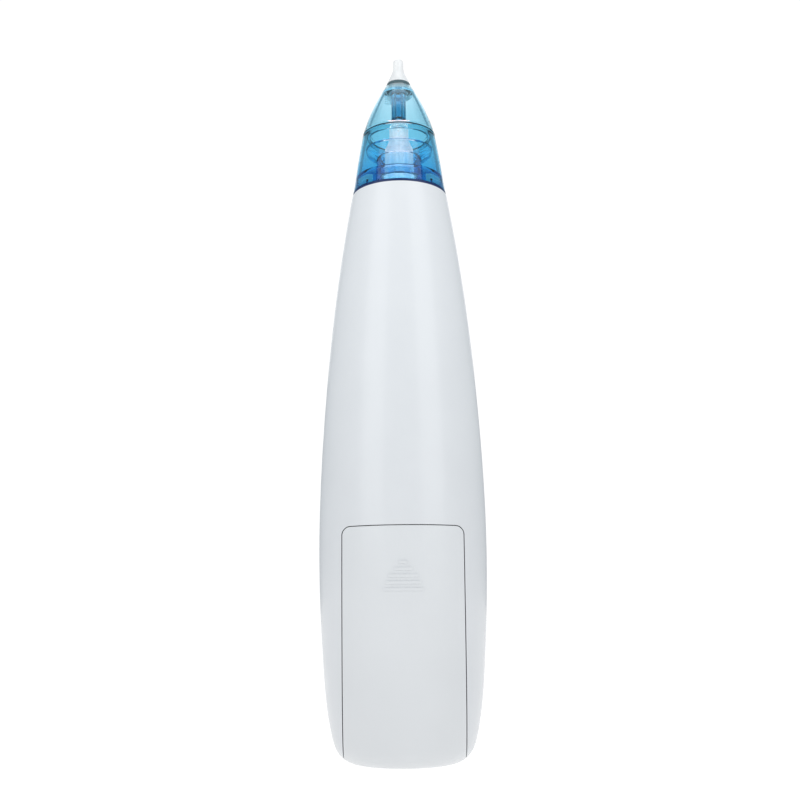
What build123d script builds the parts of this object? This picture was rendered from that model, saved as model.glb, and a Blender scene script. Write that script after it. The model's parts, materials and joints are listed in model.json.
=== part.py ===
from build123d import *
import os

# Battery-powered nasal aspirator, standing on its flat base.
# Millimetres, +Z up to the silicone tip, origin at the centre of the base.
# The battery door faces -Y and the buttons face +Y.

os.makedirs("parts", exist_ok=True)

# ---------------------------------------------------------------- driving dimensions
BODY_TOP = 166.2            # rim of the white body
WALL = 1.8                  # body shell thickness
LINING_GAP = 0.4            # space between the shell and what is fitted inside it
TOTAL_HEIGHT = 212.5        # base to the end of the silicone tip
BLANK = 60.0                # side of a tool block wider than the body

# Outer side of the body as (radius, height): a rounded foot, then one long swelling curve.
FOOT_CURVE = [(13.0, 0.0), (18.8, 0.0), (19.9, 4.1), (21.05, 10.1)]
SIDE_CURVE = [(21.05, 10.1), (22.9, 26.5), (24.17, 57.0), (23.3, 88.5), (20.75, 121.3), (14.55, BODY_TOP)]
SIDE_TANGENTS = [(0.19, 1.0), (-0.17, 1.0)]
FOOT_STEPS = 5              # stations kept along each curve when it is moved in or out
SIDE_STEPS = 9

# Battery door, in the -Y side and wrapped round the foot
DOOR_HALF_WIDTH = 16.65
DOOR_TOP = 64.0
DOOR_THICKNESS = 1.5
DOOR_CORNER = 2.2
DOOR_FOOT_Y = 6.2           # how far from the axis its foot ends under the base
DOOR_GAP = 0.25
GRIP_HEIGHTS = [54.2, 52.4, 50.6, 48.8, 47.0]
GRIP_WIDTHS = [2.4, 5.1, 8.3, 9.6, 11.2]
GRIP_PROUD = 0.25
GRIP_THICKNESS = 0.75
LATCH_HALF_WIDTH = 5.0
LATCH_ROOT_Y = (-23.2, -20.0)
LATCH_TONGUE_Y = (-21.2, -20.0)
LATCH_Z = (57.0, 63.0, 67.4)    # foot of the root, foot and end of the tongue

# Door guides: hooks on the door run behind lips on the battery tray
GUIDE_Z = (40.0, 62.0)
GUIDE_RIB_X = (13.9, 14.7)
GUIDE_RIB_Y = -18.0
GUIDE_HOOK_X = 15.6
GUIDE_HOOK_Y = (-12.9, -11.9)
GUIDE_SLOT_X = (13.5, 15.9)
GUIDE_SLOT_Y = -11.5
GUIDE_LIP_Y = (-14.2, -13.2)

# Two AA cells side by side, one of them upside down, in a tray
CELL_RADIUS = 7.25
CELL_BODY = 49.5
CELL_EDGE = 0.6
CELL_NUB_RADIUS = 2.75
CELL_NUB = 1.0
CELL_X = 7.6
CELL_Y = -7.0
CELL_BASE = 9.6
POCKET_RADIUS = 7.55
TRAY_HALF_WIDTH = 17.2
TRAY_BACK = 1.8
TRAY_Z = (5.0, 63.4)
TRAY_MOUTH = 15.0           # half width of its open front
TRAY_FLANK = 13.0           # where it is cut back below the door's guides
PLATE_LOW = 6.4             # underside of the lower contact plate
PLATE_HIGH = 62.1           # top of the upper contact plates
PLATE_THICKNESS = 0.4
PLATE_HALF_WIDTH = 12.0
PLATE_Y = (-10.5, -3.5)
PLATE_SPLIT = 3.0
CONTACT_DISC = 4.2
CONTACT_BUMP = 2.4
SPRING_WIRE = 0.35
SPRING_RADIUS = 3.0
SPRING_TURNS = 3

# Two screws through the tray into the front shell
SCREW_HEIGHTS = [18.0, 52.0]
SCREW_HEAD = (2.3, -0.9, 0.6)       # radius, then its two ends along Y
SCREW_SHANK = (1.2, -0.9, 8.6)
SCREW_HEAD_HOLE = (2.6, -1.0, 0.7)
SCREW_HOLE = (1.4, 0.0, 3.0)
BOSS_RADIUS = 3.0
BOSS_Y = 1.9
BOSS_HOLE = (1.25, BOSS_Y, 9.9)
SCREW_CROSS = (2.6, 0.5, 0.8)       # length, width and depth of the recess

# Buttons, switches and circuit board on the +Y side
SUCTION_Z = 118.0
SUCTION_SIZE = (15.0, 25.0)
SUCTION_POST_END = 18.4
MUSIC_Z = 91.0
MUSIC_SIZE = (11.0, 11.01)
MUSIC_POST_END = 20.6
BUTTON_GAP = 0.3
BUTTON_PROUD = 1.0
BUTTON_TRAVEL = 0.8
FLANGE_GAP = 0.2
FLANGE_THICKNESS = 1.1
FLANGE_MARGIN = 3.0
POST_RADIUS = 2.2
POST_CLEARANCE = 0.4
PLUNGER_RADIUS = 1.4
PLUNGER_LENGTH = 3.0
PLUNGER_DEPTH = 0.6
BOARD_Y = 11.0
BOARD_THICKNESS = 1.6
BOARD_WIDTH = 17.0
BOARD_CORNER = 1.5
BOARD_Z = (74.0, 130.0)
BOARD_HOLE = 0.8
BOARD_HOLE_X = 13.0
BOARD_HOLE_INSET = 3.0
SWITCH_SIDE = 6.0
SWITCH_CORNER = 0.6
SWITCH_HEIGHT = 3.4
SWITCH_HOLE = 1.6
SWITCH_HOLE_DEPTH = 1.8
CHIP_Z = 104.5
CHIP_SIZE = (5.0, 7.0)
CHIP_HEIGHT = 1.5
CAPACITOR_PLACE = (-5.0, 80.0)
CAPACITOR_RADIUS = 2.5
CAPACITOR_HEIGHT = 4.5
RESISTOR_PLACES = [(5.0, 79.0), (5.0, 83.0)]
RESISTOR_SIZE = (3.0, 1.6)
RESISTOR_HEIGHT = 0.8

# Speaker behind its grille
SPEAKER_Z = 35.0
SPEAKER_RADIUS = 10.0
SPEAKER_RIM = 1.2
SPEAKER_Y = (15.5, 19.0)
SPEAKER_PLATE = 0.8
SPEAKER_MAGNET = (4.5, 13.0, 16.0)  # radius, then its two ends along Y
GRILLE_RINGS = [(0.0, 1), (3.0, 6), (6.0, 12)]
GRILLE_HOLE = 0.7

# Motor, on an axis behind the body's own
PUMP_Y = -3.5
MOTOR_RADIUS = 12.1
MOTOR_WALL = 0.8
MOTOR_Z = (69.0, 99.8)
MOTOR_END = 98.8            # underside of the can's closed end
BEARING_RADIUS = 3.1
BEARING_TOP = 101.6
SHAFT_RADIUS = 1.0
SHAFT_Z = (69.5, 106.0)
SHAFT_PLAY = 0.04
END_CAP_TOP = 72.5
TERMINAL_X = (7.0, 7.5)
TERMINAL_HALF = 1.2
TERMINAL_FOOT = 64.6
MAGNET_BORE = 9.3
MAGNET_Z = (76.0, 94.0)
MAGNET_GAP = 3.6
ARMATURE_RADIUS = 8.7
ARMATURE_Z = (77.0, 93.0)
COMMUTATOR_RADIUS = 3.0
COMMUTATOR_FOOT = 73.4
POLES = 3
SLOT_CIRCLE = 7.2
SLOT_SIZE = (5.0, 2.6)
CRADLE_Z = (86.0, 90.0)
CRADLE_WALL = 1.6
CRADLE_PLAY = 0.1
CRADLE_ARM_X = (9.6, 11.6)
CRADLE_ARM_Y = (5.0, 19.6)

# Diaphragm pump on top of the motor
PUMP_RADIUS = 13.0
PUMP_WALL = 1.6
PUMP_FLOOR = 101.4
PUMP_RIM = 112.6
PUMP_TOP = 121.0
PUMP_SCREW_CIRCLE = 10.9
PUMP_POST = 1.7
PUMP_HOLE = 0.95
PUMP_HOLE_FOOT = 103.5
PUMP_SCREW_SHANK = 0.9
PUMP_SCREW_FOOT = 104.0
PUMP_SCREW_HEAD = 1.3
ECCENTRICITY = 1.6
CRANK_RADIUS = 5.5
CRANK_Z = (102.4, 107.0)
PIN_RADIUS = 0.9
PIN_TOP = 110.4
HUB_RADIUS = 4.6
HUB_BORE = ECCENTRICITY + 1.1
HUB_Z = (107.6, 111.3)
ARM_CIRCLE = 5.6
ARM_SIZE = (6.5, 3.6)
ARM_THICKNESS = 1.2
CHAMBER_CIRCLE = 5.8
CHAMBER_RADIUS = 3.2
CHAMBER_FOOT = 111.4
DIAPHRAGM_TOP = 113.6
VALVE_TOP = 116.0
VALVE_HOLE = 0.8
COVER_BORE = 8.6
COVER_ROOF = 119.4
NOZZLE_RADIUS = 2.0
NOZZLE_BORE = 1.0
NOZZLE_TOP = 129.0
OUTLET_RADIUS = 1.6
OUTLET_BORE = 0.8
OUTLET_TOP = 125.5
OUTLET_Y = PUMP_Y - 5.5
PORT_FOOT = 119.0
HOSE_RADIUS = 3.0
HOSE_BORE = 2.05
HOSE_Z = (122.0, 159.6)

# Neck: collar with bayonet lugs, seal and spigot
LEDGE_Z = 158.2
LEDGE_REACH = (1.2, 1.6)    # how far the ledge goes inside and outside the collar's edge
COLLAR_Z = 159.8
COLLAR_RADIUS = 12.5
COLLAR_BORE = 3.05
LUG_WIDTH = 5.4
LUG_ANGLE = 90.0            # one lug at the back, two at the front sides
LUG_RADII = (10.8, 11.9)
LUG_TOP = 170.6
NUB_RADIUS = 12.5
NUB_FOOT = 169.4
SEAL_RADII = (12.15, 14.25)
SEAL_TOP = 167.1
BARB_Z = (153.0, 155.0)
BARB_RADII = (1.7, 2.0)
STEM_RADIUS = 3.0
STEM_FOOT = 159.7
SPIGOT_FLANGE = (5.2, 167.3)        # radius and top
SPIGOT_RADIUS = 4.45
SPIGOT_SHOULDER = (182.0, 185.4)
SPIGOT_TOP = 190.2
SPIGOT_TOP_RADIUS = 3.0
SPIGOT_DOME = (2.4, 0.8)            # radius at the end, height of the rounding
SPIGOT_BORE = 1.2
SPIGOT_BORE_END = 188.6
INLET_Z = 187.8
INLET_RADIUS = 0.7
RING_SECTION = 0.6
RING_PLACE = (5.08, 172.0)

# Collection cup and splash insert
CUP_FOOT = 167.15
CUP_TOP = 186.1
CUP_SIDE = [(14.3, CUP_FOOT), (13.72, 170.5), (12.9, 176.6), (12.08, 181.6), (11.3, CUP_TOP)]
CUP_WALL = 1.3
CUP_FLOOR = (171.3, 172.3)
WELL_FOOT_RADIUS = 12.2
SKIRT_BORE = 12.8
LEDGE_BORE = 12.15
LEDGE_BAND = (167.7, 168.9)
SLEEVE_RADIUS = 7.0
SLEEVE_BORE = 5.75
SLEEVE_Z = (167.6, 179.0)
SLEEVE_PLAY = 0.02
FUNNEL_RADIUS = 10.4
FUNNEL_TOP = 181.2
FUNNEL_WALL = 0.6
GUSSET = [(5.2, 179.3), (5.2, 180.1), (9.9, 181.1), (9.6, 180.65), (6.9, 178.8), (6.2, 178.8)]
GUSSET_ANGLES = (-18, 18, 162, 198)
GUSSET_HALF = 0.3

# Cap, its seals and the tip
CAP_FOOT = 186.5
CAP_TOP = 202.9
CAP_SIDE = [(11.25, CAP_FOOT), (10.1, 190.3), (7.0, 197.6), (4.15, CAP_TOP)]
CAP_FLOOR = (200.0, 201.1)
CAP_INSIDE = [(10.05, CAP_FOOT), (8.8, 190.3), (5.75, 197.4), (4.5, CAP_FLOOR[0])]
PLUG_RADII = (9.2, 9.9)
PLUG_FOOT = 184.9
PLUG_COLLAR = 10.3
PLUG_TOP = CAP_FOOT + 0.8
PIPE_RADII = (1.0, 2.3)
PIPE_FOOT = 192.2
FIN_COUNT = 4
FIN_FOOT = 197.3
FIN_STEP = 0.62
FIN_THICKNESS = 0.25
FIN_X = (-4.4, -1.8)
FIN_HALF = 0.5
ORING_RADII = (9.95, 11.08)
ORING_GAP = 0.03
TIP_POCKET = 3.0
TIP_RING_RADII = (2.95, 4.0, 3.65)  # bore, foot and top
RING_TOP = 204.1
PLUG_RADIUS = 2.9
TIP_GAP = 0.03
TIP_SIDE = [(3.5, RING_TOP + TIP_GAP), (2.75, 206.2), (1.95, 208.0), (1.6, 209.9)]
TIP_END_RADIUS = 1.6
TIP_DOME = [(1.3, 0.3), (0.5, 0.0)]     # radius, distance below the end
TIP_DOME_DEPTH = 1.1
TIP_BORE = 0.75


# ---------------------------------------------------------------- shared forms
with BuildLine() as foot_line:
    Bezier(*FOOT_CURVE)
with BuildLine() as side_line:
    Spline(*SIDE_CURVE, tangents=SIDE_TANGENTS)


def inset_points(line, inset, steps):
    """Points moved along the line's normal, towards the axis where inset is positive."""
    edge = line.edge()
    points = []
    for step in range(steps):
        place = edge @ (step / (steps - 1))
        along = edge % (step / (steps - 1))
        points.append((place.X - inset * along.Y, place.Y + inset * along.X))
    return points


def body_form(inset):
    """Solid inside the body's surface, moved in along its normal, or out where inset is negative."""
    points = inset_points(foot_line, inset, FOOT_STEPS)[:-1] + inset_points(side_line, inset, SIDE_STEPS)
    foot, rim = points[0], points[-1]
    with BuildSketch(Plane.XZ) as half:
        with BuildLine():
            Spline(*points)
            Polyline(rim, (rim[0], BODY_TOP + WALL), (0, BODY_TOP + WALL), (0, foot[1]), foot)
        make_face()
    with BuildPart(mode=Mode.PRIVATE) as form:
        revolve(half.sketch, axis=Axis.Z)
    return form.part


outer_form = body_form(0)
inner_form = body_form(WALL)
lining_form = body_form(WALL + LINING_GAP)
door_form = body_form(DOOR_THICKNESS)
proud_form = body_form(-GRIP_PROUD)
button_form = body_form(-BUTTON_PROUD)
flange_top_form = body_form(WALL + FLANGE_GAP)
flange_foot_form = body_form(WALL + FLANGE_GAP + FLANGE_THICKNESS)


def half_block(sign, low, high):
    """Keep only one side of the XZ plane, between two heights."""
    with BuildSketch(Plane.XY.offset(low)) as half:
        with Locations((0, sign * BLANK / 2)):
            Rectangle(BLANK, BLANK)
    extrude(half.sketch, amount=high - low, mode=Mode.INTERSECT)


def block(x_range, y_range, z_range, mode=Mode.ADD):
    """Box between three pairs of limits."""
    with BuildSketch(Plane.XY.offset(z_range[0])) as foot:
        with Locations((sum(x_range) / 2, sum(y_range) / 2)):
            Rectangle(abs(x_range[1] - x_range[0]), abs(y_range[1] - y_range[0]))
    extrude(foot.sketch, amount=z_range[1] - z_range[0], mode=mode)


def tube(outer, inner, low, high, centre=(0, 0)):
    """Upright tube between two heights, or a plain disc where inner is 0."""
    with BuildSketch(Plane.XY.offset(low)) as ring:
        with Locations(centre):
            Circle(outer)
            if inner:
                Circle(inner, mode=Mode.SUBTRACT)
    extrude(ring.sketch, amount=high - low)


def bore(radius, low, high, centre=(0, 0)):
    """Upright round hole between two heights."""
    with BuildSketch(Plane.XY.offset(low)) as hole:
        with Locations(centre):
            Circle(radius)
    extrude(hole.sketch, amount=high - low, mode=Mode.SUBTRACT)


def post(radius, height, y_range, mode=Mode.ADD):
    """Round post or hole along Y at x = 0, between two places on that axis."""
    with BuildSketch(Plane.XZ.offset(-y_range[0])) as end:
        with Locations((0, height)):
            Circle(radius)
    extrude(end.sketch, amount=y_range[0] - y_range[1], mode=mode)


def lug_ring(inner, outer, low, high):
    """Short pieces of a ring at the three bayonet positions."""
    with BuildSketch(Plane.XY.offset(low)) as ring:
        Circle(outer)
        Circle(inner, mode=Mode.SUBTRACT)
    with BuildSketch(Plane.XY.offset(low)) as spokes:
        with PolarLocations(BLANK / 4, 3, start_angle=LUG_ANGLE):
            Rectangle(BLANK / 2, LUG_WIDTH)
    with BuildPart(mode=Mode.PRIVATE) as pieces:
        extrude(ring.sketch, amount=high - low)
        extrude(spokes.sketch, amount=high - low, mode=Mode.INTERSECT)
    add(pieces.part)


def turned(outline, centre=(0, 0)):
    """Revolve an outline of (radius, height) points about an upright axis."""
    with BuildSketch(Plane.XZ.offset(-centre[1])) as half:
        with BuildLine():
            Polyline(*outline, close=True)
        make_face()
    revolve(half.sketch, axis=Axis((centre[0], centre[1], 0), (0, 0, 1)))


def collar_ledge():
    """Ring inside the body's neck that the collar stands on."""
    tube(COLLAR_RADIUS + LEDGE_REACH[1], COLLAR_RADIUS - LEDGE_REACH[0], LEDGE_Z, COLLAR_Z)


def door_outline(grow):
    """The door's outline seen from -Y, with round top corners."""
    with BuildSketch(Plane.XZ.offset(DOOR_FOOT_Y - grow)) as outline:
        with Locations((0, DOOR_TOP + grow)):
            Rectangle(2 * (DOOR_HALF_WIDTH + grow), DOOR_TOP + 2, align=(Align.CENTER, Align.MAX))
        fillet(outline.vertices().group_by(Axis.Y)[-1], DOOR_CORNER + grow)
    return outline.sketch


# ---------------------------------------------------------------- body shells
with BuildPart() as back_shell:
    add(outer_form)
    add(inner_form, mode=Mode.SUBTRACT)
    collar_ledge()
    half_block(-1, 0, BODY_TOP)
    add(outer_form, mode=Mode.INTERSECT)
    extrude(door_outline(DOOR_GAP), amount=BLANK, mode=Mode.SUBTRACT)
back_shell.part.label = "back_shell"
export_step(back_shell.part, "parts/back_shell.step")

with BuildPart() as front_shell:
    add(outer_form)
    add(inner_form, mode=Mode.SUBTRACT)
    collar_ledge()
    half_block(1, 0, BODY_TOP)
    for screw_height in SCREW_HEIGHTS:
        post(BOSS_RADIUS, screw_height, (BOSS_Y, BLANK))
    add(outer_form, mode=Mode.INTERSECT)
    for screw_height in SCREW_HEIGHTS:
        post(BOSS_HOLE[0], screw_height, BOSS_HOLE[1:], Mode.SUBTRACT)
    with BuildSketch(Plane.XZ):
        with Locations((0, SUCTION_Z)):
            SlotOverall(SUCTION_SIZE[1] + 2 * BUTTON_GAP, SUCTION_SIZE[0] + 2 * BUTTON_GAP, rotation=90)
        with Locations((0, MUSIC_Z)):
            Circle(MUSIC_SIZE[0] / 2 + BUTTON_GAP)
        with Locations((0, SPEAKER_Z)):
            for ring_radius, holes in GRILLE_RINGS:
                with PolarLocations(ring_radius, holes):
                    Circle(GRILLE_HOLE)
    extrude(amount=-BLANK, mode=Mode.SUBTRACT)
front_shell.part.label = "front_shell"
export_step(front_shell.part, "parts/front_shell.step")

# ---------------------------------------------------------------- battery door
with BuildPart() as door_skin:
    add(outer_form)
    add(door_form, mode=Mode.SUBTRACT)
    extrude(door_outline(0), amount=BLANK, mode=Mode.INTERSECT)

with BuildPart() as battery_door:
    # grip ribs, trimmed to stand a little proud of the door
    with BuildSketch(Plane.XZ):
        for height, width in zip(GRIP_HEIGHTS, GRIP_WIDTHS):
            with Locations((0, height)):
                SlotOverall(width, GRIP_THICKNESS)
    extrude(amount=BLANK)
    add(proud_form, mode=Mode.INTERSECT)
    add(door_form, mode=Mode.SUBTRACT)
    add(door_skin.part)
    # latch tongue that reaches up behind the shell
    block((-LATCH_HALF_WIDTH, LATCH_HALF_WIDTH), LATCH_ROOT_Y, LATCH_Z[:2])
    block((-LATCH_HALF_WIDTH, LATCH_HALF_WIDTH), LATCH_TONGUE_Y, LATCH_Z[1:])
    # guide hooks that run behind the tray's lips
    for side in (-1, 1):
        block((side * GUIDE_RIB_X[0], side * GUIDE_RIB_X[1]), (GUIDE_RIB_Y, GUIDE_HOOK_Y[1]), GUIDE_Z)
        block((side * GUIDE_RIB_X[0], side * GUIDE_HOOK_X), GUIDE_HOOK_Y, GUIDE_Z)
battery_door.part.label = "battery_door"
export_step(battery_door.part, "parts/battery_door.step")


# ---------------------------------------------------------------- battery tray and cells
with BuildPart() as battery_tray:
    block((-TRAY_HALF_WIDTH, TRAY_HALF_WIDTH), (GUIDE_LIP_Y[0], TRAY_BACK), TRAY_Z)
    add(lining_form, mode=Mode.INTERSECT)
    for side in (-1, 1):
        bore(POCKET_RADIUS, PLATE_LOW, PLATE_HIGH, (side * CELL_X, CELL_Y))
        # the door's hooks pass here
        slot = (side * GUIDE_SLOT_X[0], side * GUIDE_SLOT_X[1])
        flank = (side * TRAY_FLANK, side * BLANK / 2)
        block(slot, (GUIDE_LIP_Y[1], GUIDE_SLOT_Y), (PLATE_LOW, PLATE_HIGH), Mode.SUBTRACT)
        block(flank, (-BLANK, GUIDE_SLOT_Y), (TRAY_Z[0], GUIDE_Z[0]), Mode.SUBTRACT)
    block((-TRAY_MOUTH, TRAY_MOUTH), (-BLANK, CELL_Y), (PLATE_LOW, PLATE_HIGH), Mode.SUBTRACT)
    block((-BLANK / 2, BLANK / 2), (-BLANK, GUIDE_SLOT_Y), (GUIDE_Z[1], TRAY_Z[1]), Mode.SUBTRACT)
    block((-BLANK / 2, BLANK / 2), (-BLANK, GUIDE_SLOT_Y), (TRAY_Z[0], PLATE_LOW), Mode.SUBTRACT)
    # holes for the two screws between the cells, their heads sunk in the tray
    for screw_height in SCREW_HEIGHTS:
        post(SCREW_HEAD_HOLE[0], screw_height, SCREW_HEAD_HOLE[1:], Mode.SUBTRACT)
        post(SCREW_HOLE[0], screw_height, SCREW_HOLE[1:], Mode.SUBTRACT)
battery_tray.part.label = "battery_tray"
export_step(battery_tray.part, "parts/battery_tray.step")

for cell_name, side, up in (("left", -1, 1), ("right", 1, -1)):
    foot = CELL_BASE if up > 0 else CELL_BASE + CELL_BODY
    with BuildPart() as battery_cell:
        centre = (side * CELL_X, CELL_Y)
        tube(CELL_RADIUS, 0, CELL_BASE, CELL_BASE + CELL_BODY, centre)
        fillet(battery_cell.edges().filter_by(GeomType.CIRCLE), CELL_EDGE)
        nub = sorted((foot + up * CELL_BODY, foot + up * (CELL_BODY + CELL_NUB)))
        tube(CELL_NUB_RADIUS, 0, nub[0], nub[1], centre)
    battery_cell.part.label = f"battery_cell_{cell_name}"
    export_step(battery_cell.part, f"parts/battery_cell_{cell_name}.step")

cell_top = CELL_BASE + CELL_BODY
with BuildPart() as contact_bridge:
    # one plate joins both cells at the bottom, with a bump under the inverted cell
    plate_top = PLATE_LOW + PLATE_THICKNESS
    block((-PLATE_HALF_WIDTH, PLATE_HALF_WIDTH), (PLATE_Y[0], CELL_Y), (PLATE_LOW, plate_top))
    for side in (-1, 1):
        tube(CONTACT_DISC, 0, PLATE_LOW, plate_top, (side * CELL_X, CELL_Y))
    tube(CONTACT_BUMP, 0, plate_top, CELL_BASE - CELL_NUB, (CELL_X, CELL_Y))
contact_bridge.part.label = "contact_bridge"
export_step(contact_bridge.part, "parts/contact_bridge.step")

with BuildPart() as contact_terminals:
    # two separate plates at the top, with a bump over the upright cell
    plate_foot = PLATE_HIGH - PLATE_THICKNESS
    for side in (-1, 1):
        block((side * PLATE_SPLIT, side * PLATE_HALF_WIDTH), PLATE_Y, (plate_foot, PLATE_HIGH))
    tube(CONTACT_BUMP, 0, cell_top + CELL_NUB, plate_foot, (-CELL_X, CELL_Y))
contact_terminals.part.label = "contact_terminals"
export_step(contact_terminals.part, "parts/contact_terminals.step")

with BuildPart() as battery_springs:
    # a few stacked coils on each negative end
    for x, low, high in ((-CELL_X, plate_top, CELL_BASE), (CELL_X, cell_top, plate_foot)):
        rise = high - low - 2 * SPRING_WIRE
        coil_foot = (x, CELL_Y, low + SPRING_WIRE)
        coil = Helix(rise / SPRING_TURNS, rise, SPRING_RADIUS, coil_foot, mode=Mode.PRIVATE)
        with BuildSketch(Plane(origin=coil @ 0, z_dir=coil % 0)) as wire_section:
            Circle(SPRING_WIRE)
        sweep(wire_section.sketch, path=coil, is_frenet=True)
battery_springs.part.label = "battery_springs"
export_step(battery_springs.part, "parts/battery_springs.step")

with BuildPart() as shell_screws:
    for screw_height in SCREW_HEIGHTS:
        post(SCREW_HEAD[0], screw_height, SCREW_HEAD[1:])
        post(SCREW_SHANK[0], screw_height, SCREW_SHANK[1:])
    # cross recess in each head
    for screw_height in SCREW_HEIGHTS:
        with BuildSketch(Plane.XZ.offset(-SCREW_HEAD[1])):
            with Locations((0, screw_height)):
                Rectangle(SCREW_CROSS[0], SCREW_CROSS[1])
                Rectangle(SCREW_CROSS[1], SCREW_CROSS[0])
        extrude(amount=-SCREW_CROSS[2], mode=Mode.SUBTRACT)
shell_screws.part.label = "shell_screws"
export_step(shell_screws.part, "parts/shell_screws.step")


# ---------------------------------------------------------------- buttons, board and speaker
switch_face = BOARD_Y + BOARD_THICKNESS + SWITCH_HEIGHT
post_foot = switch_face + BUTTON_TRAVEL + POST_CLEARANCE
button_parts = (("suction", SUCTION_Z, SUCTION_SIZE, SUCTION_POST_END),
                ("music", MUSIC_Z, MUSIC_SIZE, MUSIC_POST_END))
for button_name, height, (width, length), post_end in button_parts:
    with BuildPart() as button_flange:
        with BuildSketch(Plane.XZ):
            with Locations((0, height)):
                SlotOverall(length + FLANGE_MARGIN, width + FLANGE_MARGIN, rotation=90)
        extrude(amount=-BLANK)
        add(flange_top_form, mode=Mode.INTERSECT)
        add(flange_foot_form, mode=Mode.SUBTRACT)
    with BuildPart() as button:
        with BuildSketch(Plane.XZ):
            with Locations((0, height)):
                SlotOverall(length, width, rotation=90)
        extrude(amount=-BLANK)
        add(button_form, mode=Mode.INTERSECT)
        add(flange_foot_form, mode=Mode.SUBTRACT)
        add(button_flange.part)
        # post down to the switch, ending in the plunger that enters it
        post(POST_RADIUS, height, (post_foot, post_end))
        plunger_end = switch_face - PLUNGER_DEPTH
        post(PLUNGER_RADIUS, height, (plunger_end, plunger_end + PLUNGER_LENGTH))
    button.part.label = f"{button_name}_button"
    export_step(button.part, f"parts/{button_name}_button.step")

    with BuildPart() as switch:
        with BuildSketch(Plane.XZ.offset(-BOARD_Y - BOARD_THICKNESS)):
            with Locations((0, height)):
                RectangleRounded(SWITCH_SIDE, SWITCH_SIDE, SWITCH_CORNER)
        extrude(amount=-SWITCH_HEIGHT)
        post(SWITCH_HOLE, height, (switch_face - SWITCH_HOLE_DEPTH, switch_face), Mode.SUBTRACT)
    switch.part.label = f"{button_name}_switch"
    export_step(switch.part, f"parts/{button_name}_switch.step")

with BuildPart() as circuit_board:
    with BuildSketch(Plane.XZ.offset(-BOARD_Y)) as board_outline:
        with Locations((0, sum(BOARD_Z) / 2)):
            RectangleRounded(BOARD_WIDTH, BOARD_Z[1] - BOARD_Z[0], BOARD_CORNER)
    extrude(amount=-BOARD_THICKNESS)
    with BuildSketch(Plane.XZ.offset(-BOARD_Y)):
        with GridLocations(BOARD_HOLE_X, BOARD_Z[1] - BOARD_Z[0] - 2 * BOARD_HOLE_INSET, 2, 2):
            with Locations((0, sum(BOARD_Z) / 2)):
                Circle(BOARD_HOLE)
    extrude(amount=-BOARD_THICKNESS, mode=Mode.SUBTRACT)
circuit_board.part.label = "circuit_board"
export_step(circuit_board.part, "parts/circuit_board.step")

with BuildPart() as board_components:
    # controller chip, electrolytic capacitor and two small chip parts
    chip_face = Plane.XZ.offset(-BOARD_Y - BOARD_THICKNESS)
    with BuildSketch(chip_face):
        with Locations((0, CHIP_Z)):
            Rectangle(*CHIP_SIZE)
    extrude(amount=-CHIP_HEIGHT)
    with BuildSketch(chip_face):
        with Locations(CAPACITOR_PLACE):
            Circle(CAPACITOR_RADIUS)
    extrude(amount=-CAPACITOR_HEIGHT)
    with BuildSketch(chip_face):
        with Locations(*RESISTOR_PLACES):
            Rectangle(*RESISTOR_SIZE)
    extrude(amount=-RESISTOR_HEIGHT)
board_components.part.label = "board_components"
export_step(board_components.part, "parts/board_components.step")

with BuildPart() as speaker:
    post(SPEAKER_RADIUS, SPEAKER_Z, SPEAKER_Y)
    cone = (SPEAKER_Y[0] + SPEAKER_PLATE, SPEAKER_Y[1])
    post(SPEAKER_RADIUS - SPEAKER_RIM, SPEAKER_Z, cone, Mode.SUBTRACT)
    post(SPEAKER_MAGNET[0], SPEAKER_Z, SPEAKER_MAGNET[1:])
speaker.part.label = "speaker"
export_step(speaker.part, "parts/speaker.step")


# ---------------------------------------------------------------- motor
pump_axis = (0, PUMP_Y)

with BuildPart() as motor_can:
    inside = MOTOR_RADIUS - MOTOR_WALL
    turned([(inside, MOTOR_Z[0]), (MOTOR_RADIUS, MOTOR_Z[0]), (MOTOR_RADIUS, MOTOR_Z[1]),
            (BEARING_RADIUS, MOTOR_Z[1]), (BEARING_RADIUS, BEARING_TOP),
            (SHAFT_RADIUS + SHAFT_PLAY, BEARING_TOP), (SHAFT_RADIUS + SHAFT_PLAY, MOTOR_END),
            (inside, MOTOR_END)], pump_axis)
motor_can.part.label = "motor_can"
export_step(motor_can.part, "parts/motor_can.step")

with BuildPart() as motor_end_cap:
    tube(MOTOR_RADIUS - MOTOR_WALL, SHAFT_RADIUS + SHAFT_PLAY, MOTOR_Z[0], END_CAP_TOP, pump_axis)
motor_end_cap.part.label = "motor_end_cap"
export_step(motor_end_cap.part, "parts/motor_end_cap.step")

with BuildPart() as motor_terminals:
    terminal_y = (PUMP_Y - TERMINAL_HALF, PUMP_Y + TERMINAL_HALF)
    for side in (-1, 1):
        block((side * TERMINAL_X[0], side * TERMINAL_X[1]), terminal_y, (TERMINAL_FOOT, MOTOR_Z[0]))
motor_terminals.part.label = "motor_terminals"
export_step(motor_terminals.part, "parts/motor_terminals.step")

with BuildPart() as motor_magnets:
    tube(MOTOR_RADIUS - MOTOR_WALL, MAGNET_BORE, MAGNET_Z[0], MAGNET_Z[1], pump_axis)
    block((-BLANK / 2, BLANK / 2), (PUMP_Y - MAGNET_GAP, PUMP_Y + MAGNET_GAP), MAGNET_Z, Mode.SUBTRACT)
motor_magnets.part.label = "motor_magnets"
export_step(motor_magnets.part, "parts/motor_magnets.step")

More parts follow.
